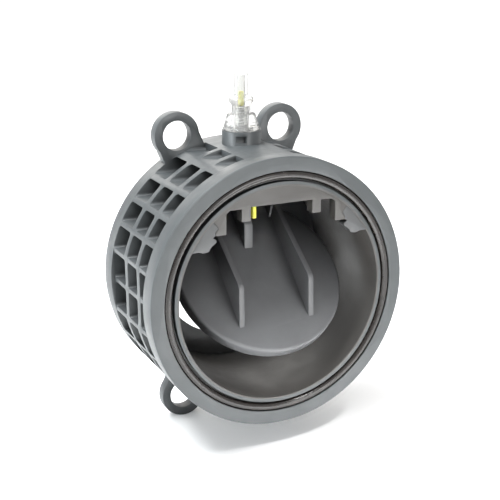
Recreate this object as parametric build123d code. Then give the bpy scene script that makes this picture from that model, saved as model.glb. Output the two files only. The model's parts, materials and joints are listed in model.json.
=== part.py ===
from build123d import *
import math
import os

# Plastic wafer check valve, DN 100, with an optical position indicator.
# Millimetres. The origin is the centre of the outlet face, on the pipe axis.
# +Y runs from the outlet to the inlet, +Z is up towards the sight glass, +X is to the right.

# Valve body
LENGTH = 82.0                # face to face
OUTLET_R = 80.0              # outlet flange band
OUTLET_BAND = 12.5           # its width along the pipe
INLET_R = 79.1               # inlet flange band
INLET_BAND_START = 70.0
CAVITY_R = 63.4              # disc chamber
CORE_R = 68.0                # floor of the cage pockets
CAGE_R = 79.3                # outside of the cage ribs
CAGE_FLAT_X = 76.6           # the cage is cut flat on both sides
RIB_Z = (18.2, 34.0, 47.9, 60.6, 72.1)   # level ribs above and below the middle one
RIB_THICK = 2.4
RING_RIB_Y = (28.6, 48.6)    # the two ribs that run round the cage
RING_RIB_THICK = 4.6
POCKET_CORNER_R = 2.0
PAD_HALF = 16.3              # plain pad under the indicator boss, and one opposite
EDGE = 0.6                   # chamfer on the flange corners

# Centring eyelets, on the bolt circle of a DN 100 PN 10/16 flange
BOLT_CIRCLE_R = 90.0
EYELET_DEG = 22.5
EYELET_HOLE_R = 9.0
EYELET_R = 14.2
EYELET_THICK = 7.0
EYELET_ROOT_R = 72.0
EYELET_NECK_HALF = 13.6

# Face seals
GROOVE_IN_R = 66.0
GROOVE_OUT_R = 72.0
GROOVE_DEPTH = 4.2
FACE_RING_R = 69.6
FACE_RING_WIRE_R = 2.3

# Seat ring
SEAT_Y = 77.0                # sealing face
SEAT_R = 43.5                # opening
SEAT_Z = -5.5                # the opening sits below the pipe axis
SEAT_RING_R = 64.6
SEAT_RING_GROOVE_R = 62.7
SEAT_RING_WIRE_R = 0.9

# Disc
DISC_R = 51.8
DISC_THICK = 8.0
DISC_EDGE_R = 2.0
DISC_RING_R = 46.5
DISC_RING_WIRE_R = 1.5
DISC_RING_PROUD = 0.5
DISC_GAP = 0.3               # seal to seat when closed
OPEN_DEG = 46.0              # opening of the modelled position

# Hinge
HINGE_Y = 60.9
HINGE_Z = 44.2
PIN_R = 2.5
BUSH_R = 3.6
BUSH_CLEAR = 0.06
KNUCKLE_R = 5.3
KNUCKLE_IN_X = 19.4
KNUCKLE_OUT_X = 25.4
RIB_X = 22.4                 # middle of the disc's two long ribs
LONG_RIB_THICK = 3.2

# Centre lug of the disc, which lifts the indicator
LUG_X = (-3.5, 1.8)
NOSE_ARM = 8.0
NOSE_REST_DEG = -22.0
NOSE_R = 1.5

# Hinge carrier
CARRIER_R = 63.38
CARRIER_FRONT = 0.05
CARRIER_BACK = 7.0
CHEEK_IN_X = 26.3
CHEEK_OUT_X = 30.8
CHEEK_R = 5.8
CLIP_SEAM_GAP = 0.15

# Position indicator
STEM_Y = 53.5
STEM_R = 1.75
BOSS_R = 11.7
BOSS_TOP = 86.9
GLASS_BORE_R = 7.0
GLASS_BORE_FLOOR = 74.0
GUIDE_R = 4.0
GLASS_ROOM_R = 3.9
GLASS_SHOULDER = 101.0
GLASS_TOP = 120.4
FLAG_BASE = 102.0
FLAG_TOP = 109.7
FOOT_GAP = 1.18              # nose to foot in the modelled position
FOOT_THICK = 2.2
SPRING_BASE = 89.0
SPRING_R = 2.75
SPRING_WIRE_R = 0.3
SPRING_TURNS = 7


def ring(*corners):
    """Solid of revolution about the pipe axis from (radius, y) corners."""
    return revolve(make_face(Polyline(*corners, close=True)), Axis.Y)


def tube_y(outer, inner, y0, y1):
    """Round sleeve along the pipe axis."""
    return ring((inner, y0), (outer, y0), (outer, y1), (inner, y1))


def rod_x(radius, y, z, x0, x1):
    """Round bar across the pipe."""
    return Pos((x0 + x1) / 2, y, z) * Rot(0, 90, 0) * Cylinder(radius, abs(x1 - x0))


def rod_y(radius, x, z, y0, y1):
    """Round bar along the pipe."""
    return Pos(x, (y0 + y1) / 2, z) * Rot(90, 0, 0) * Cylinder(radius, y1 - y0)


def rod_z(radius, x, y, z0, z1):
    """Upright round bar."""
    return Pos(x, y, (z0 + z1) / 2) * Cylinder(radius, z1 - z0)


def block(x0, x1, y0, y1, z0, z1):
    """Box from its lowest to its highest corner."""
    centre = Pos((x0 + x1) / 2, (y0 + y1) / 2, (z0 + z1) / 2)
    return centre * Box(x1 - x0, y1 - y0, z1 - z0)


def plate_x(points, x0, x1):
    """Plate with a (y, z) outline, from x0 to x1."""
    face = Plane.YZ * make_face(Polyline(*points, close=True))
    return Pos(x0, 0, 0) * extrude(face, x1 - x0)


def plate_y(points, y0, y1):
    """Plate with an (x, z) outline, from y0 to y1."""
    face = Plane.XZ * make_face(Polyline(*points, close=True))
    return Pos(0, y1, 0) * extrude(face, y1 - y0)


def o_ring(radius, wire_r, y, z=0.0):
    """Rubber ring round the pipe axis, or round an axis parallel to it."""
    return Pos(0, y, z) * Rot(90, 0, 0) * Torus(radius, wire_r)


def spin(part, degrees):
    """Turn a part about the pipe axis, from the top towards +X."""
    return part.rotate(Axis.Y, degrees)


def swing(part, degrees):
    """Open a part about the hinge pin."""
    return part.rotate(Axis((0, HINGE_Y, HINGE_Z), (-1, 0, 0)), degrees)


def mirror_x(part):
    """The same part on the other side of the valve."""
    return mirror(part, Plane.YZ)


# ---- valve body --------------------------------------------------------------


def flange_bands():
    """The two plain bands that the pipe flanges clamp, and the tube between them."""
    outlet = ring(
        (CORE_R - 2, 0),
        (OUTLET_R - EDGE, 0),
        (OUTLET_R, EDGE),
        (OUTLET_R, OUTLET_BAND),
        (CORE_R - 2, OUTLET_BAND),
    )
    inlet = ring(
        (CORE_R - 2, INLET_BAND_START),
        (INLET_R, INLET_BAND_START),
        (INLET_R, LENGTH - EDGE),
        (INLET_R - EDGE, LENGTH),
        (CORE_R - 2, LENGTH),
    )
    return outlet + inlet + tube_y(CORE_R, CAVITY_R, 0, LENGTH)


def cage_blank():
    """Plain sleeve round the core, between the bands, flat on both sides."""
    start = OUTLET_BAND - 1
    end = INLET_BAND_START + 1
    sleeve = tube_y(CAGE_R, CORE_R - 2, start, end)
    return sleeve & block(-CAGE_FLAT_X, CAGE_FLAT_X, start, end, -CAGE_R, CAGE_R)


def pocket_levels():
    """Lowest and highest z of the pockets, from the bottom of the cage to its top."""
    ribs = [-z for z in reversed(RIB_Z)] + [0] + list(RIB_Z)
    edges = [-CAGE_R - 9]
    for z in ribs:
        edges += [z - RIB_THICK / 2, z + RIB_THICK / 2]
    edges.append(CAGE_R + 9)
    return list(zip(edges[::2], edges[1::2]))


def pocket_rows():
    """First and last y of the pockets."""
    edges = [OUTLET_BAND]
    for y in RING_RIB_Y:
        edges += [y - RING_RIB_THICK / 2, y + RING_RIB_THICK / 2]
    edges.append(INLET_BAND_START)
    return list(zip(edges[::2], edges[1::2]))


def cage_pockets():
    """Cutters for the pockets, which all run level, in from both sides to the pads."""
    cutters = []
    for y0, y1 in pocket_rows():
        for z0, z1 in pocket_levels():
            outline = Plane.YZ * RectangleRounded(y1 - y0, z1 - z0, POCKET_CORNER_R)
            right = Pos(PAD_HALF, (y0 + y1) / 2, (z0 + z1) / 2) * extrude(outline, CAGE_R)
            cutters += [right, mirror_x(right)]
    return cutters


def eyelet():
    """One centring eyelet at the top of the inlet band, before it is turned into place."""
    y0 = INLET_BAND_START
    y1 = y0 + EYELET_THICK
    neck = block(-EYELET_NECK_HALF, EYELET_NECK_HALF, y0, y1, EYELET_ROOT_R, BOLT_CIRCLE_R)
    return neck + rod_y(EYELET_R, 0, BOLT_CIRCLE_R, y0, y1)


def eyelet_angles():
    """The four bolt positions used, measured from the top."""
    return (EYELET_DEG, -EYELET_DEG, 180 - EYELET_DEG, 180 + EYELET_DEG)


def boss():
    """Round boss that takes the sight glass."""
    return rod_z(BOSS_R, 0, STEM_Y, CORE_R - 2, BOSS_TOP)


def boss_cuts():
    """Stepped bore of the boss, its seal recess and the key slot in its front."""
    bore = rod_z(GLASS_BORE_R, 0, STEM_Y, GLASS_BORE_FLOOR, BOSS_TOP + 1)
    seal = rod_z(GLASS_BORE_R + 1.8, 0, STEM_Y, BOSS_TOP - 1.9, BOSS_TOP + 1)
    guide = rod_z(GUIDE_R, 0, STEM_Y, CAVITY_R - 5, GLASS_BORE_FLOOR + 1)
    slot = block(-10.0, -2.0, STEM_Y - BOSS_R - 1, STEM_Y - BOSS_R + 3.0, 80.6, 84.4)
    return [bore, seal, guide, slot]


def face_groove(y0, y1):
    """Seal groove in a clamping face."""
    return tube_y(GROOVE_OUT_R, GROOVE_IN_R, y0, y1)


def valve_body():
    """One moulding: bands, cage, chamber, eyelets and boss."""
    cage = cage_blank().cut(*cage_pockets())
    body = cage + flange_bands() + boss()
    for angle in eyelet_angles():
        body += spin(eyelet(), angle)
    hole = rod_y(EYELET_HOLE_R, 0, BOLT_CIRCLE_R, INLET_BAND_START - 5, LENGTH + 5)
    cuts = [spin(hole, angle) for angle in eyelet_angles()]
    cuts += boss_cuts()
    cuts.append(tube_y(CAVITY_R, 0, -1, LENGTH + 1))
    cuts.append(tube_y(SEAT_RING_R, 0, SEAT_Y, LENGTH + 1))
    cuts.append(face_groove(-1, GROOVE_DEPTH))
    cuts.append(face_groove(LENGTH - GROOVE_DEPTH, LENGTH + 1))
    return body.cut(*cuts)


# ---- seals and seat ----------------------------------------------------------


def outlet_o_ring():
    """Face seal towards the outlet flange, standing a little proud."""
    return o_ring(FACE_RING_R, FACE_RING_WIRE_R, GROOVE_DEPTH - FACE_RING_WIRE_R)


def inlet_o_ring():
    """Face seal towards the inlet flange."""
    return o_ring(FACE_RING_R, FACE_RING_WIRE_R, LENGTH - GROOVE_DEPTH + FACE_RING_WIRE_R)


def seat_ring():
    """Ring with the seat face, pressed into the inlet end."""
    middle = (SEAT_Y + LENGTH) / 2
    blank = tube_y(SEAT_RING_R, 0, SEAT_Y, LENGTH)
    opening = rod_y(SEAT_R, 0, SEAT_Z, SEAT_Y - 1, LENGTH + 1)
    lead_in = Pos(0, LENGTH, SEAT_Z) * Rot(90, 0, 0) * Cone(SEAT_R + 2.5, SEAT_R, 5)
    groove = tube_y(SEAT_RING_R + 1, SEAT_RING_GROOVE_R, middle - 1.2, middle + 1.2)
    return blank - opening - lead_in - groove


def seat_ring_o_ring():
    """Seal between the seat ring and the body."""
    radius = SEAT_RING_GROOVE_R + SEAT_RING_WIRE_R
    return o_ring(radius, SEAT_RING_WIRE_R, (SEAT_Y + LENGTH) / 2)


# ---- disc, modelled closed and then swung open -------------------------------


def disc_back():
    """Upstream face of the closed disc."""
    return SEAT_Y - DISC_GAP - DISC_RING_PROUD


def disc_front():
    """Downstream face of the closed disc."""
    return disc_back() - DISC_THICK


def disc_plate():
    """Round plate with rounded rims, a seal groove and a cored back."""
    back = disc_back()
    front = disc_front()
    plate = rod_y(DISC_R, 0, SEAT_Z, front, back)
    rims = plate.edges().filter_by(GeomType.CIRCLE).sort_by(Axis.Y)
    plate = fillet(rims[0:1], DISC_EDGE_R)
    rims = plate.edges().filter_by(GeomType.CIRCLE).sort_by(Axis.Y)
    plate = chamfer(rims[-1:], EDGE)
    width = DISC_RING_WIRE_R
    depth = 2 * DISC_RING_WIRE_R - DISC_RING_PROUD
    groove = tube_y(DISC_RING_R + width, DISC_RING_R - width, back - depth, back + 1)
    core = rod_y(DISC_RING_R - 9, 0, SEAT_Z, back - 2.5, back + 1)
    web = block(-1.5, 1.5, back - 2.5, back, SEAT_Z - DISC_RING_R + 9, SEAT_Z + DISC_RING_R - 9)
    webs = web + web.rotate(Axis((0, 0, SEAT_Z), (0, 1, 0)), 90)
    return plate - Pos(0, 0, SEAT_Z) * groove - core + webs


def on_disc(down, out):
    """(y, z) of a point given by its distance below the disc centre and out from its front face."""
    return (disc_front() - out, SEAT_Z - down)


def long_rib():
    """Stiffening rib that reaches from the hinge knuckle down over the disc."""
    outline = [
        on_disc(33.3, -1),
        on_disc(33.3, 0),
        on_disc(17.0, 16.4),
        on_disc(14.0, 17.2),
        on_disc(-30.0, 10.9),
        on_disc(-46.0, 10.4),
        on_disc(-47.0, 0),
        on_disc(-44.0, -1),
    ]
    half = LONG_RIB_THICK / 2
    rib = plate_x(outline, RIB_X - half, RIB_X + half)
    web = plate_x([on_disc(-40, 8), on_disc(-51, 3), on_disc(-47, -2), on_disc(-36, -2)],
                  KNUCKLE_IN_X, KNUCKLE_OUT_X)
    return rib + web + rod_x(KNUCKLE_R, HINGE_Y, HINGE_Z, KNUCKLE_IN_X, KNUCKLE_OUT_X)


def nose_closed():
    """(y, z) of the centre of the lug's nose when the disc is closed."""
    angle = math.radians(NOSE_REST_DEG - OPEN_DEG)
    return (HINGE_Y - NOSE_ARM * math.cos(angle), HINGE_Z + NOSE_ARM * math.sin(angle))


def centre_lug():
    """Short rib whose round nose lifts the indicator."""
    y, z = nose_closed()
    outline = [
        on_disc(-17.4, -1),
        on_disc(-17.4, 0),
        on_disc(-27.0, 10.0),
        on_disc(-29.0, 10.8),
        (y - NOSE_R * 0.96, z - NOSE_R * 0.3),
        (y + NOSE_R * 0.4, z + NOSE_R * 0.92),
        on_disc(-46.0, 0),
        on_disc(-46.0, -1),
    ]
    return plate_x(outline, *LUG_X) + rod_x(NOSE_R, y, z, *LUG_X)


def disc():
    """Disc with its ribs and knuckles."""
    body = disc_plate() + long_rib() + mirror_x(long_rib()) + centre_lug()
    bore = rod_x(BUSH_R, HINGE_Y, HINGE_Z, KNUCKLE_IN_X - 1, KNUCKLE_OUT_X + 1)
    return swing(body - bore - mirror_x(bore), OPEN_DEG)


def disc_o_ring():
    """Seal in the disc's upstream face."""
    y = disc_back() + DISC_RING_PROUD - DISC_RING_WIRE_R
    return swing(o_ring(DISC_RING_R, DISC_RING_WIRE_R, y, SEAT_Z), OPEN_DEG)


def right_hinge_bush():
    """Flanged bush in the right knuckle."""
    sleeve = rod_x(BUSH_R, HINGE_Y, HINGE_Z, KNUCKLE_IN_X, KNUCKLE_OUT_X)
    collar = rod_x(KNUCKLE_R - 0.4, HINGE_Y, HINGE_Z, KNUCKLE_OUT_X, KNUCKLE_OUT_X + 0.6)
    bore = rod_x(PIN_R + BUSH_CLEAR, HINGE_Y, HINGE_Z, KNUCKLE_IN_X - 1, KNUCKLE_OUT_X + 2)
    return swing(sleeve + collar - bore, OPEN_DEG)


def left_hinge_bush():
    """Flanged bush in the left knuckle."""
    return mirror_x(right_hinge_bush())


# ---- hinge carrier -----------------------------------------------------------


def on_wall(x):
    """Height of the chamber wall above a point x to the side."""
    return math.sqrt(CARRIER_R**2 - x**2)


def clip_seam(gap):
    """Toothed line between the carrier and its right clip, from the wall down."""
    return [(42.0 + gap, on_wall(42.0 + gap)), (39.6 + gap, 45.0), (38.9 + gap, 43.2),
            (40.7 + gap, 41.6), (40.7 + gap, 39.6)]


def half_crescent():
    """Right half of the front plate: flat lower edge, stop leg, notch and end block."""
    outline = [
        (0, 53.6), (19.4, 53.6), (19.4, 45.7), (24.8, 45.7), (24.8, 53.0), (32.0, 53.0),
        (34.2, 51.2), (34.4, 39.6),
    ]
    outline += list(reversed(clip_seam(0)))
    outline += [(42.0, 66.0), (0, 66.0)]
    return plate_y(outline, CARRIER_FRONT, CARRIER_BACK)


def cheek():
    """Right arm that runs back along the chamber roof and hangs the hinge pin."""
    y, z = HINGE_Y, HINGE_Z
    outline = [
        (CARRIER_BACK - 1, 53.6), (CARRIER_BACK + 4, 50.4), (y - 12, 50.4), (y - CHEEK_R, z + 1),
        (y - CHEEK_R, z), (y + CHEEK_R, z), (y + CHEEK_R, 66), (CARRIER_BACK - 1, 66),
    ]
    arm = plate_x(outline, CHEEK_IN_X, CHEEK_OUT_X)
    return arm + rod_x(CHEEK_R, y, z, CHEEK_IN_X, CHEEK_OUT_X)


def hinge_carrier():
    """Insert behind the top of the outlet face that carries the hinge and the open stops."""
    half = half_crescent() + cheek()
    bridge = block(-CHEEK_OUT_X, CHEEK_OUT_X, HINGE_Y - 0.2, HINGE_Y + CHEEK_R, 53.2, 66)
    body = half + mirror_x(half) + bridge
    body = body & tube_y(CARRIER_R, 0, CARRIER_FRONT, SEAT_Y - 1)
    return body - rod_x(PIN_R, HINGE_Y, HINGE_Z, -CHEEK_OUT_X - 1, CHEEK_OUT_X + 1)


def right_carrier_clip():
    """Toothed clip that locks the right end of the carrier against the chamber wall."""
    outline = clip_seam(CLIP_SEAM_GAP)
    outline += [(42.3, 38.7), (40.2, 37.2), (40.3, 35.9), (43.6, 33.4), (44.9, 31.1),
                (48.2, 30.6), (50.8, 31.5), (54.6, 31.4), (60.0, 31.4), (60.0, 52.0)]
    plate = plate_y(outline, CARRIER_FRONT, CARRIER_BACK - 1)
    return plate & tube_y(CARRIER_R, 0, CARRIER_FRONT, CARRIER_BACK)


def left_carrier_clip():
    """Toothed clip that locks the left end of the carrier."""
    return mirror_x(right_carrier_clip())


def hinge_pin():
    """Pin through both cheeks, with a head at its left end and a groove at its right."""
    end = CHEEK_OUT_X + 3.2
    pin = rod_x(PIN_R, HINGE_Y, HINGE_Z, -CHEEK_OUT_X - 1.5, end)
    head = rod_x(PIN_R + 1.6, HINGE_Y, HINGE_Z, -CHEEK_OUT_X - 1.6, -CHEEK_OUT_X)
    neck = rod_x(PIN_R + 1, HINGE_Y, HINGE_Z, CHEEK_OUT_X + 0.1, CHEEK_OUT_X + 1.3)
    neck -= rod_x(PIN_R - 0.6, HINGE_Y, HINGE_Z, CHEEK_OUT_X, CHEEK_OUT_X + 2)
    return chamfer((pin + head - neck).edges().sort_by(Axis.X)[-1], 0.5)


def hinge_pin_clip():
    """Open retaining ring in the pin's groove."""
    x0 = CHEEK_OUT_X + 0.2
    x1 = CHEEK_OUT_X + 1.2
    washer = rod_x(PIN_R + 2, HINGE_Y, HINGE_Z, x0, x1)
    washer -= rod_x(PIN_R - 0.6, HINGE_Y, HINGE_Z, x0 - 1, x1 + 1)
    return washer - block(x0 - 1, x1 + 1, HINGE_Y - 1.5, HINGE_Y + 1.5, HINGE_Z - 6, HINGE_Z)


# ---- position indicator ------------------------------------------------------


def stem_guide():
    """Flanged bush that guides the stem through the roof of the chamber."""
    sleeve = rod_z(GUIDE_R, 0, STEM_Y, CAVITY_R, GLASS_BORE_FLOOR)
    flange = rod_z(GLASS_BORE_R - 0.4, 0, STEM_Y, GLASS_BORE_FLOOR, GLASS_BORE_FLOOR + 1.6)
    bore = rod_z(STEM_R + 0.08, 0, STEM_Y, CAVITY_R - 1, GLASS_BORE_FLOOR + 3)
    return sleeve + flange - bore


def glass_flutes():
    """Grip flutes round the foot of the sight glass."""
    flute = rod_z(1.3, 0, STEM_Y - 10.9, BOSS_TOP + 2.2, GLASS_SHOULDER - 2)
    return [flute.rotate(Axis((0, STEM_Y, 0), (0, 0, 1)), k * 36) for k in range(10)]


def sight_glass():
    """Clear moulding: threaded spigot, fluted foot, collar and closed tube."""
    spigot = GLASS_BORE_R - 0.05
    profile = [
        (0, GLASS_BORE_FLOOR + 1.7), (spigot, GLASS_BORE_FLOOR + 1.7), (spigot, BOSS_TOP),
        (11.0, BOSS_TOP), (11.0, BOSS_TOP + 1.3), (10.6, BOSS_TOP + 1.6), (8.4, 96.4),
        (5.6, 97.0), (5.6, 101.4), (7.3, 103.6), (7.3, 105.6), (6.7, 106.2), (4.15, 106.2),
        (4.15, GLASS_TOP - 1.0), (3.3, GLASS_TOP), (0, GLASS_TOP),
    ]
    room = [
        (0, GLASS_BORE_FLOOR), (GLASS_ROOM_R, GLASS_BORE_FLOOR), (GLASS_ROOM_R, GLASS_SHOULDER),
        (STEM_R + 0.35, GLASS_SHOULDER), (STEM_R + 0.35, GLASS_TOP - 1.3), (0, GLASS_TOP - 1.3),
    ]
    at_stem = Pos(0, STEM_Y, 0)
    solid = at_stem * revolve(Plane.XZ * make_face(Polyline(*profile, close=True)), Axis.Z)
    hollow = at_stem * revolve(Plane.XZ * make_face(Polyline(*room, close=True)), Axis.Z)
    return solid.cut(hollow, *glass_flutes())


def sight_glass_o_ring():
    """Seal under the foot of the sight glass."""
    return Pos(0, STEM_Y, BOSS_TOP - 0.95) * Torus(GLASS_BORE_R + 0.9, 0.85)


def nose_rest():
    """(y, z) of the centre of the lug's nose in the modelled position."""
    angle = math.radians(NOSE_REST_DEG)
    return (HINGE_Y - NOSE_ARM * math.cos(angle), HINGE_Z + NOSE_ARM * math.sin(angle))


def foot_base():
    """Underside of the indicator's foot."""
    return nose_rest()[1] + NOSE_R + FOOT_GAP


def hub_top():
    """Top of the follower, where the stem stands in it."""
    return foot_base() + FOOT_THICK + 5.0


def indicator_follower():
    """Foot that rides on the lug, with a side tab that keeps it in line."""
    base = foot_base()
    foot = block(-3.2, 2.6, STEM_Y - 2.2, HINGE_Y - PIN_R - 0.4, base, base + FOOT_THICK)
    hub = block(-3.0, 2.6, STEM_Y - 3.0, STEM_Y + 3.2, base, hub_top())
    arm = block(2.0, 4.3, 42.6, STEM_Y + 3.2, hub_top() - 4.6, hub_top())
    tab = block(2.0, 4.3, 42.6, 45.4, 34.4, hub_top())
    body = foot + hub + arm + tab
    return body - rod_z(STEM_R - 0.4, 0, STEM_Y, base + 1.5, hub_top() + 1)


def indicator_stem():
    """Stem with a spring collar, reduced at both ends."""
    stem = rod_z(STEM_R, 0, STEM_Y, hub_top(), FLAG_BASE)
    foot = rod_z(STEM_R - 0.4, 0, STEM_Y, foot_base() + 1.5, hub_top() + 1)
    collar = rod_z(3.3, 0, STEM_Y, SPRING_BASE - 1.4, SPRING_BASE)
    tip = rod_z(1.0, 0, STEM_Y, FLAG_BASE - 1, FLAG_BASE + 4.5)
    return stem + foot + collar + tip


def indicator_flag():
    """Coloured cap on the stem, seen in the tube."""
    cap = rod_z(STEM_R, 0, STEM_Y, FLAG_BASE, FLAG_TOP)
    cap = fillet(cap.edges().sort_by(Axis.Z)[-1], 0.8)
    return cap - rod_z(1.0, 0, STEM_Y, FLAG_BASE - 1, FLAG_BASE + 4.5)


def indicator_spring():
    """Light coil spring that keeps the stem down on the lug."""
    low = SPRING_BASE + SPRING_WIRE_R + 0.05
    height = GLASS_SHOULDER - SPRING_WIRE_R - 0.05 - low
    path = Pos(0, STEM_Y, low) * Helix(height / SPRING_TURNS, height, SPRING_R)
    section = Plane(origin=path @ 0, z_dir=path % 0) * Circle(SPRING_WIRE_R)
    return sweep(section, path=path, is_frenet=True)


NODES = (
    valve_body, seat_ring, seat_ring_o_ring, outlet_o_ring, inlet_o_ring,
    hinge_carrier, left_carrier_clip, right_carrier_clip, hinge_pin, hinge_pin_clip,
    disc, disc_o_ring, left_hinge_bush, right_hinge_bush,
    sight_glass, sight_glass_o_ring, stem_guide,
    indicator_stem, indicator_flag, indicator_follower, indicator_spring,
)

os.makedirs("parts", exist_ok=True)
for node in NODES:
    export_step(node(), os.path.join("parts", node.__name__ + ".step"))
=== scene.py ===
import json
import math

import bpy
from mathutils import Matrix, Vector


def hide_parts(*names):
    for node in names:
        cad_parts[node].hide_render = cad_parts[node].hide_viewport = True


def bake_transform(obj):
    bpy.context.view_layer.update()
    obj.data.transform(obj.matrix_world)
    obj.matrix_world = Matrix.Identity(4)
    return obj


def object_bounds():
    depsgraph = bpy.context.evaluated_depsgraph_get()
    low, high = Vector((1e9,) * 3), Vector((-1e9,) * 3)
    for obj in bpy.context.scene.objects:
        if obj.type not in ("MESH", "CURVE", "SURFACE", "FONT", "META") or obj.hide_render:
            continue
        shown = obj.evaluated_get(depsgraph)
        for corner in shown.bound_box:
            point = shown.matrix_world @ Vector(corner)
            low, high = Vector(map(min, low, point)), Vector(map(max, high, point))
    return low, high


# Looks of a plastic wafer check valve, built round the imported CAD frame.
# Metres, in the frame of the valve: +Y runs from the outlet to the inlet, +Z is up.
# Lamp powers are in watts, lens and sensor in millimetres, angles as each line says.

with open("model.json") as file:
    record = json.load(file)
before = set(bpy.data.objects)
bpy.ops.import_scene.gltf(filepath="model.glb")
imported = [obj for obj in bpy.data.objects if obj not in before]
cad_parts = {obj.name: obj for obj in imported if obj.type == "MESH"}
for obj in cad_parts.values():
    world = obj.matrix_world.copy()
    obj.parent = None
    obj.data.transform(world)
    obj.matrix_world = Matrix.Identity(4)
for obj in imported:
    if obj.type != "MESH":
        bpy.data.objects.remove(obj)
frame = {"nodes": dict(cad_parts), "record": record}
NODES = frame["nodes"]
CAD_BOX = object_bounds()

EDGE_ANGLE = math.radians(32)   # sharper edges are rounded and stay hard in the shading
FLAT_ANGLE = math.radians(0.3)  # faces nearer to level than this are joined
WELD_REACH = 2e-6
BEVEL_SEGMENTS = 2

BORE_R = 0.0645         # inside this radius the body turns browner, a painted reflection
BORE_EDGE = 0.0005      # width of the change between the two
CREASE_REACH = 0.006    # reach of the darkening in corners
SHELTER_REACH = 0.040   # reach of the painted shade in hollows
SHELTER_SPAN = 0.44
AO_SAMPLES = 32
PLASTIC_IOR = 1.52
FINE_GRAIN_SHARE = 0.16
PLASTIC_BUMP = 0.00022
UP = Vector((0, 0, 1))


# ---- shader helpers ----------------------------------------------------------


class Shader:
    """Builds one node material, keeping the calls that make its nodes short."""

    def __init__(self, name):
        self.material = bpy.data.materials.new(name)
        self.material.use_nodes = True
        self.tree = self.material.node_tree
        self.tree.nodes.clear()
        self.output = self.node("ShaderNodeOutputMaterial")
        self.bsdf = self.node("ShaderNodeBsdfPrincipled")
        self.link(self.bsdf.outputs["BSDF"], self.output.inputs["Surface"])
        self.coords = self.node("ShaderNodeTexCoord").outputs["Object"]

    def node(self, kind, **values):
        made = self.tree.nodes.new(kind)
        for key, value in values.items():
            setattr(made, key, value)
        return made

    def link(self, source, target):
        self.tree.links.new(source, target)

    def put(self, socket, value):
        """Sets a socket to a number or colour, or links another socket to it."""
        if isinstance(value, bpy.types.NodeSocket):
            self.link(value, socket)
        else:
            socket.default_value = value

    def mapped(self, scale, turn=(0, 0, 0)):
        """Object coordinates, stretched and turned."""
        made = self.node("ShaderNodeMapping")
        self.link(self.coords, made.inputs["Vector"])
        made.inputs["Scale"].default_value = scale
        made.inputs["Rotation"].default_value = turn
        return made.outputs["Vector"]

    def noise(self, scale, detail=4, rough=0.55, vector=None):
        made = self.node("ShaderNodeTexNoise")
        self.link(vector or self.coords, made.inputs["Vector"])
        made.inputs["Scale"].default_value = scale
        made.inputs["Detail"].default_value = detail
        made.inputs["Roughness"].default_value = rough
        return made.outputs["Fac"]

    def ramp(self, value, low, high, start, end):
        """Remaps a value between two limits to two levels, and clamps it."""
        made = self.node("ShaderNodeMapRange")
        self.link(value, made.inputs["Value"])
        made.inputs["From Min"].default_value = low
        made.inputs["From Max"].default_value = high
        made.inputs["To Min"].default_value = start
        made.inputs["To Max"].default_value = end
        return made.outputs["Result"]

    def math(self, operation, a, b):
        made = self.node("ShaderNodeMath", operation=operation)
        self.put(made.inputs[0], a)
        self.put(made.inputs[1], b)
        return made.outputs[0]

    def mix(self, factor, a, b):
        """Mixes two colours."""
        made = self.node("ShaderNodeMix", data_type="RGBA")
        self.put(made.inputs["Factor"], factor)
        self.put(made.inputs[6], a)
        self.put(made.inputs[7], b)
        return made.outputs[2]

    def off_axis(self):
        """Distance from the pipe axis."""
        split = self.node("ShaderNodeSeparateXYZ")
        self.link(self.coords, split.inputs["Vector"])
        squares = []
        for i in (0, 2):
            size = self.math("ABSOLUTE", split.outputs[i], 0.0)
            squares.append(self.math("POWER", size, 2.0))
        return self.math("SQRT", self.math("ADD", *squares), 0.0)

    def creases(self, reach):
        """Ambient occlusion: near 1 on open faces and lower in corners."""
        made = self.node("ShaderNodeAmbientOcclusion", samples=AO_SAMPLES)
        made.inputs["Distance"].default_value = reach
        return made.outputs["AO"]

    def bump(self, height, depth, strength):
        made = self.node("ShaderNodeBump")
        self.link(height, made.inputs["Height"])
        made.inputs["Distance"].default_value = depth
        made.inputs["Strength"].default_value = strength
        self.link(made.outputs["Normal"], self.bsdf.inputs["Normal"])

    def set(self, **values):
        """Sets sockets of the main shader. Underscores stand for spaces."""
        for key, value in values.items():
            self.put(self.bsdf.inputs[key.replace("_", " ")], value)


def rgb(r, g, b):
    return (r, g, b, 1.0)


# The roughness of any one material stays above 0.28 or below 0.27. The disc's once
# ran from 0.24 to 0.39, and small hard-edged marks were rendered on it.


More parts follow.
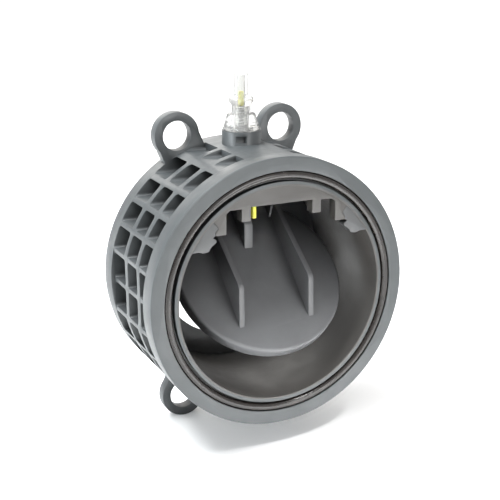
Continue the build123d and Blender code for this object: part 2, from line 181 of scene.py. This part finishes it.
def moulded_plastic(name, colour, pale, rough=0.42, grain=1.0, open_above=0.66, bore_reflection_tint=None):
    """Opaque moulded plastic: cloudy pigment, fine grain, darker corners, painted shade in
    hollows, an optional browner painted reflection inside the pipe, light scuffs.
    """
    s = Shader(name)
    cloud = s.noise(38, 5, 0.6)
    flow = s.noise(16, 3, 0.5, s.mapped((1.0, 0.25, 1.0)))
    base = s.mix(s.ramp(cloud, 0.35, 0.68, 0.0, 0.30), rgb(*colour), rgb(*pale))
    base = s.mix(s.ramp(flow, 0.45, 0.75, 0.0, 0.16), base, rgb(*pale))
    # Painted reflection: inside the pipe the colour turns browner, standing in for brownish light
    # reflected there.
    if bore_reflection_tint:
        inside = s.ramp(s.off_axis(), BORE_R, BORE_R - BORE_EDGE, 0.0, 0.8)
        base = s.mix(inside, base, rgb(*bore_reflection_tint))
    # Darker within CREASE_REACH of corners, in noisy patches.
    corner = s.creases(CREASE_REACH)
    corner_darkening = s.math("MULTIPLY", s.ramp(corner, 0.75, 0.30, 0.0, 0.35), s.noise(420, 3))
    base = s.mix(corner_darkening, base, rgb(*(c * 0.55 for c in colour)))
    # Painted shade: hollows within SHELTER_REACH are darkened nearly to black.
    hollow = s.creases(SHELTER_REACH)
    painted_shade = s.ramp(hollow, open_above, open_above - SHELTER_SPAN, 0.0, 0.90)
    base = s.mix(painted_shade, base, rgb(*(c * 0.16 for c in colour)))
    specks = s.ramp(s.noise(1900, 2, 0.5), 0.70, 0.80, 0.0, 0.22)
    base = s.mix(specks, base, rgb(*pale))
    scratch = s.noise(95, 5, 0.7, s.mapped((1.0, 9.0, 2.2), (0.4, 0.2, 0.9)))
    scuff = s.ramp(scratch, 0.50, 0.80, 0.0, 0.07)
    shine = s.ramp(s.noise(60, 4, 0.6), 0.3, 0.7, rough - 0.07, rough + 0.08)
    s.set(Base_Color=base, Roughness=s.math("ADD", shine, scuff))
    s.set(IOR=PLASTIC_IOR, Specular_IOR_Level=0.5)
    fine = s.noise(2600, 3, 0.6)
    wave = s.noise(55, 2, 0.5)
    height = s.math("ADD", s.math("MULTIPLY", fine, FINE_GRAIN_SHARE * grain), wave)
    s.bump(height, PLASTIC_BUMP, 0.55)
    return s.material


def seal_rubber(name):
    """Moulded black rubber with a faint bloom."""
    s = Shader(name)
    bloom = s.ramp(s.noise(70, 4, 0.6), 0.30, 0.75, 0.0, 0.55)
    base = s.mix(bloom, rgb(0.011, 0.009, 0.008), rgb(0.036, 0.030, 0.026))
    shine = s.ramp(s.noise(90, 3, 0.5), 0.3, 0.7, 0.16, 0.26)
    s.set(Base_Color=base, Roughness=shine, IOR=1.5)
    s.bump(s.noise(900, 2, 0.5), 0.00003, 0.3)
    return s.material


def clear_plastic(name):
    """Clear moulded plastic, a little hazy, with painted shade: greyer where it is seen edge-on.
    """
    s = Shader(name)
    haze = s.ramp(s.noise(160, 4, 0.6), 0.35, 0.75, 0.18, 0.26)
    tint = s.mix(s.noise(70, 3), rgb(0.79, 0.79, 0.77), rgb(0.85, 0.85, 0.83))
    fresnel = s.node("ShaderNodeFresnel")
    fresnel.inputs["IOR"].default_value = 1.45
    # Painted shade: the tint turns grey where the glass is seen edge-on, standing in for the dark
    # walls seen through it.
    painted_edge_shade = s.ramp(fresnel.outputs["Fac"], 0.04, 0.16, 0.0, 0.85)
    tint = s.mix(painted_edge_shade, tint, rgb(0.50, 0.49, 0.48))
    s.set(Base_Color=tint, Roughness=haze, IOR=1.24, Transmission_Weight=0.84)
    s.bump(s.noise(190, 2, 0.4), 0.0002, 0.15)
    return s.material


def yellow_plastic(name):
    """Glossy signal yellow, slightly translucent."""
    s = Shader(name)
    cloud = s.ramp(s.noise(260, 4), 0.35, 0.7, 0.0, 1.0)
    base = s.mix(cloud, rgb(0.56, 0.55, 0.035), rgb(0.66, 0.65, 0.06))
    shine = s.ramp(s.noise(300, 3), 0.3, 0.7, 0.29, 0.38)
    s.set(Base_Color=base, Roughness=shine, Subsurface_Weight=0.08, Subsurface_Scale=0.002)
    s.bump(s.noise(2400, 2), 0.00005, 0.4)
    return s.material


def drawn_steel(name):
    """Drawn stainless steel, with fine lines along X."""
    s = Shader(name)
    lines = s.noise(900, 4, 0.7, s.mapped((0.05, 1.0, 1.0)))
    streak = s.ramp(lines, 0.35, 0.65, 0.0, 1.0)
    base = s.mix(streak, rgb(0.50, 0.50, 0.49), rgb(0.66, 0.66, 0.64))
    s.set(Base_Color=base, Metallic=1.0, Roughness=s.ramp(lines, 0.3, 0.7, 0.29, 0.40))
    s.bump(lines, 0.00004, 0.5)
    return s.material


def natural_plastic(name):
    """Natural acetal of the bushes, waxy and off-white."""
    s = Shader(name)
    cloud = s.ramp(s.noise(150, 4), 0.3, 0.7, 0.0, 1.0)
    base = s.mix(cloud, rgb(0.60, 0.58, 0.52), rgb(0.70, 0.69, 0.64))
    s.set(Base_Color=base, Roughness=s.ramp(s.noise(240, 3), 0.3, 0.7, 0.34, 0.46))
    s.set(Subsurface_Weight=0.12, Subsurface_Scale=0.002)
    s.bump(s.noise(1800, 2), 0.00005, 0.4)
    return s.material


# The body's browner tone inside the pipe is a painted reflection.
BODY = moulded_plastic("body_plastic", (0.047, 0.052, 0.054), (0.083, 0.090, 0.093),
                       bore_reflection_tint=(0.052, 0.046, 0.041))
SEAT = moulded_plastic("seat_plastic", (0.046, 0.047, 0.047), (0.080, 0.081, 0.081),
                       rough=0.38)
# On the disc the painted shade starts at more open places (open_above), to darken the gussets'
# sides.
DISC = moulded_plastic("disc_plastic", (0.082, 0.083, 0.086), (0.134, 0.137, 0.141),
                       rough=0.37, open_above=0.76)
CLIP = moulded_plastic("clip_plastic", (0.054, 0.055, 0.056), (0.092, 0.094, 0.096),
                       rough=0.48, grain=1.6)
STEM = moulded_plastic("stem_plastic", (0.110, 0.106, 0.104), (0.170, 0.166, 0.164),
                       rough=0.36)
RUBBER = seal_rubber("seal_rubber")
CLEAR = clear_plastic("clear_plastic")
YELLOW = yellow_plastic("indicator_yellow")
STEEL = drawn_steel("pin_steel")
BUSH = natural_plastic("bush_plastic")

MATERIAL_OF_SLOT = {
    "body_plastic": BODY,
    "seat_plastic": SEAT,
    "disc_plastic": DISC,
    "clip_plastic": CLIP,
    "stem_plastic": STEM,
    "seal_rubber": RUBBER,
    "clear_plastic": CLEAR,
    "indicator_yellow": YELLOW,
    "pin_steel": STEEL,
    "bush_plastic": BUSH,
}

# Rounding of the moulded edges, by node. Nodes left out keep their CAD edges.
EDGE_RADIUS = {
    "valve_body": 0.00045,
    "seat_ring": 0.00030,
    "disc": 0.00045,
    "hinge_carrier": 0.00035,
    "left_carrier_clip": 0.00025,
    "right_carrier_clip": 0.00025,
    "sight_glass": 0.00018,
    "indicator_follower": 0.00030,
    "stem_guide": 0.00020,
}


def smooth_by_angle():
    """A node group that shades smooth, except at edges sharper than EDGE_ANGLE."""
    group = bpy.data.node_groups.new("smooth_by_angle", "GeometryNodeTree")
    group.interface.new_socket("Geometry", in_out="INPUT", socket_type="NodeSocketGeometry")
    group.interface.new_socket("Geometry", in_out="OUTPUT", socket_type="NodeSocketGeometry")
    source = group.nodes.new("NodeGroupInput")
    target = group.nodes.new("NodeGroupOutput")
    faces = group.nodes.new("GeometryNodeSetShadeSmooth")
    edges = group.nodes.new("GeometryNodeSetShadeSmooth")
    edges.domain = "EDGE"
    edges.inputs["Shade Smooth"].default_value = False
    angle = group.nodes.new("GeometryNodeInputMeshEdgeAngle")
    sharp = group.nodes.new("FunctionNodeCompare")
    sharp.data_type = "FLOAT"
    sharp.operation = "GREATER_THAN"
    sharp.inputs[1].default_value = EDGE_ANGLE
    link = group.links.new
    link(source.outputs[0], faces.inputs["Geometry"])
    link(faces.outputs[0], edges.inputs["Geometry"])
    link(angle.outputs["Unsigned Angle"], sharp.inputs[0])
    link(sharp.outputs[0], edges.inputs["Selection"])
    link(edges.outputs[0], target.inputs[0])
    return group


SMOOTH = smooth_by_angle()


def dress(name, obj):
    """Gives a CAD node its material, rounded edges and smooth shading."""
    slot = next(p["material_slot"] for p in frame["record"]["subparts"] if p["node"] == name)
    obj.data.materials.clear()
    obj.data.materials.append(MATERIAL_OF_SLOT[slot])
    if "custom_normal" in obj.data.attributes:
        obj.data.attributes.remove(obj.data.attributes["custom_normal"])
    weld = obj.modifiers.new("weld", "WELD")
    weld.merge_threshold = WELD_REACH
    if name in EDGE_RADIUS:
        flat = obj.modifiers.new("flat", "DECIMATE")
        flat.decimate_type = "DISSOLVE"
        flat.angle_limit = FLAT_ANGLE
        bevel = obj.modifiers.new("edges", "BEVEL")
        bevel.width = EDGE_RADIUS[name]
        bevel.segments = BEVEL_SEGMENTS
        bevel.limit_method = "ANGLE"
        bevel.angle_limit = EDGE_ANGLE
        bevel.use_clamp_overlap = True
    smooth = obj.modifiers.new("smooth", "NODES")
    smooth.node_group = SMOOTH


for node_name, node_object in NODES.items():
    dress(node_name, node_object)


def add_object(name, data):
    made = bpy.data.objects.new(name, data)
    bpy.context.scene.collection.objects.link(made)
    return made


# ---- indicator spring --------------------------------------------------------

STEM_Y = 0.0535
COIL_LOW = 0.08935
COIL_HIGH = 0.10065
COIL_R = 0.00275
WIRE_R = 0.00030
COIL_TURNS = 7.0
CLOSED_TURNS = 0.9            # at each end
CLOSED_RISE = 2.2 * WIRE_R    # height of one closed end
STEPS_A_TURN = 40
WIRE_SIDES = 12


def coil_height(turn):
    """Height on the coil, with a closed turn at each end lying nearly flat."""
    span = COIL_HIGH - COIL_LOW
    if turn < CLOSED_TURNS:
        return COIL_LOW + CLOSED_RISE * turn / CLOSED_TURNS
    if turn > COIL_TURNS - CLOSED_TURNS:
        return COIL_HIGH - CLOSED_RISE * (COIL_TURNS - turn) / CLOSED_TURNS
    share = (turn - CLOSED_TURNS) / (COIL_TURNS - 2 * CLOSED_TURNS)
    return COIL_LOW + CLOSED_RISE + (span - 2 * CLOSED_RISE) * share


def coil_spring():
    """Round wire wound into a compression spring about the indicator stem."""
    count = int(COIL_TURNS * STEPS_A_TURN)
    verts, faces = [], []
    for i in range(count + 1):
        turn = i / STEPS_A_TURN
        angle = 2 * math.pi * turn
        out = Vector((math.cos(angle), math.sin(angle), 0))
        core = Vector((0, STEM_Y, coil_height(turn))) + COIL_R * out
        for j in range(WIRE_SIDES):
            around = 2 * math.pi * j / WIRE_SIDES
            side = math.cos(around) * out + math.sin(around) * UP
            verts.append(core + WIRE_R * side)
    for i in range(count):
        for j in range(WIRE_SIDES):
            a, b = i * WIRE_SIDES + j, i * WIRE_SIDES + (j + 1) % WIRE_SIDES
            faces.append((a, a + WIRE_SIDES, b + WIRE_SIDES, b))
    faces.append(tuple(range(WIRE_SIDES)))
    faces.append(tuple(count * WIRE_SIDES + j for j in reversed(range(WIRE_SIDES))))
    mesh = bpy.data.meshes.new("coil_spring")
    mesh.from_pydata(verts, [], faces)
    mesh.materials.append(STEEL)
    mesh.shade_smooth()
    made = add_object("coil_spring", mesh)
    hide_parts("indicator_spring")
    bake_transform(made)


coil_spring()

# ---- floor, light and camera -------------------------------------------------

FLOOR_HALF = 12.0
FLOOR_COLOUR = (0.93, 0.93, 0.93)
FLOOR_ROUGHNESS = 0.6
SPOT_RADIUS = 0.05

low, high = (Vector(corner) for corner in CAD_BOX)
middle = (low + high) / 2


def floor_paint(name, colour, rough):
    """Pale matt paint with a very faint cloud in it."""
    s = Shader(name)
    speck = s.ramp(s.noise(9, 3), 0.3, 0.7, 0.985, 1.0)
    s.set(Base_Color=s.mix(speck, rgb(*(c * 0.97 for c in colour)), rgb(*colour)), Roughness=rough)
    return s.material


def floor():
    mesh = bpy.data.meshes.new("floor")
    signs = ((-1, -1), (1, -1), (1, 1), (-1, 1))
    corners = [(x * FLOOR_HALF, y * FLOOR_HALF, low.z) for x, y in signs]
    mesh.from_pydata(corners, [], [(0, 1, 2, 3)])
    mesh.materials.append(floor_paint("floor_paint", FLOOR_COLOUR, FLOOR_ROUGHNESS))
    add_object("floor", mesh)


def look_at(place, target):
    """Rotation that points -Z from one place to another."""
    towards = Vector(target) - Vector(place)
    return towards.to_track_quat("-Z", "Y").to_matrix().to_4x4()


def placed(place, target):
    return Matrix.Translation(Vector(place)) @ look_at(place, target)


def area_light(name, place, size, power, tint=(1, 1, 1)):
    lamp = bpy.data.lights.new(name, "AREA")
    lamp.shape = "DISK"
    lamp.size = size
    lamp.energy = power
    lamp.color = tint
    add_object(name, lamp).matrix_world = placed(place, middle)


def sun_light(name, place, strength, spread):
    """Sun shining from a place towards the origin. The spread is in degrees."""
    lamp = bpy.data.lights.new(name, "SUN")
    lamp.energy = strength
    lamp.angle = math.radians(spread)
    add_object(name, lamp).matrix_world = look_at(place, (0, 0, 0))


def spot_light(name, place, target, spread, power):
    """Soft-edged spot lamp. The spread is in degrees."""
    lamp = bpy.data.lights.new(name, "SPOT")
    lamp.energy = power
    lamp.spot_size = math.radians(spread)
    lamp.spot_blend = 1.0
    lamp.shadow_soft_size = SPOT_RADIUS
    add_object(name, lamp).matrix_world = placed(place, target)


def world_light(level):
    world = bpy.data.worlds.new("studio")
    world.use_nodes = True
    background = world.node_tree.nodes["Background"]
    background.inputs["Color"].default_value = (1, 1, 1, 1)
    background.inputs["Strength"].default_value = level
    bpy.context.scene.world = world


# Solved by least squares from the edges in the photo.
CAMERA_PLACE = Vector((-0.27243, -0.53648, 0.20494))
CAMERA_HEADING = math.radians(25.1906)
CAMERA_DIP = math.radians(16.5248)
CAMERA_ROLL = math.radians(-0.4288)
CAMERA_LENS = 79.69
CAMERA_SENSOR = 36.0
CAMERA_NEAR = 0.01
CAMERA_FAR = 60


def camera():
    data = bpy.data.cameras.new("camera")
    data.sensor_width = CAMERA_SENSOR
    data.lens = CAMERA_LENS
    data.clip_start = CAMERA_NEAR
    data.clip_end = CAMERA_FAR
    made = add_object("camera", data)
    sine, cosine = math.sin(CAMERA_HEADING), math.cos(CAMERA_HEADING)
    across = math.cos(CAMERA_DIP)
    forward = Vector((sine * across, cosine * across, -math.sin(CAMERA_DIP)))
    right = Vector((cosine, -sine, 0))
    up = right.cross(forward)
    x_axis = math.cos(CAMERA_ROLL) * right + math.sin(CAMERA_ROLL) * up
    y_axis = math.cos(CAMERA_ROLL) * up - math.sin(CAMERA_ROLL) * right
    turn = Matrix((x_axis, y_axis, -forward)).transposed().to_4x4()
    made.matrix_world = Matrix.Translation(CAMERA_PLACE) @ turn
    bpy.context.scene.camera = made


floor()
sun_light("overhead", (-0.25, 0.10, 1.0), strength=1.3, spread=40)
area_light("key", (-0.50, 0.05, 1.15), size=0.55, power=25, tint=(0.94, 0.98, 1.0))
area_light("front", (0.35, -1.30, 0.30), size=0.5, power=6)
area_light("side", (-1.25, 0.05, 0.35), size=0.6, power=10, tint=(0.88, 0.95, 1.0))
area_light("back", (0.15, 0.95, 0.55), size=0.9, power=4, tint=(1.0, 0.97, 0.92))
spot_light("table", (0.16, -0.42, 0.65), (0.05, -0.15, low.z), spread=22, power=125)
world_light(0.80)
camera()
bpy.context.scene.view_settings.view_transform = "Standard"
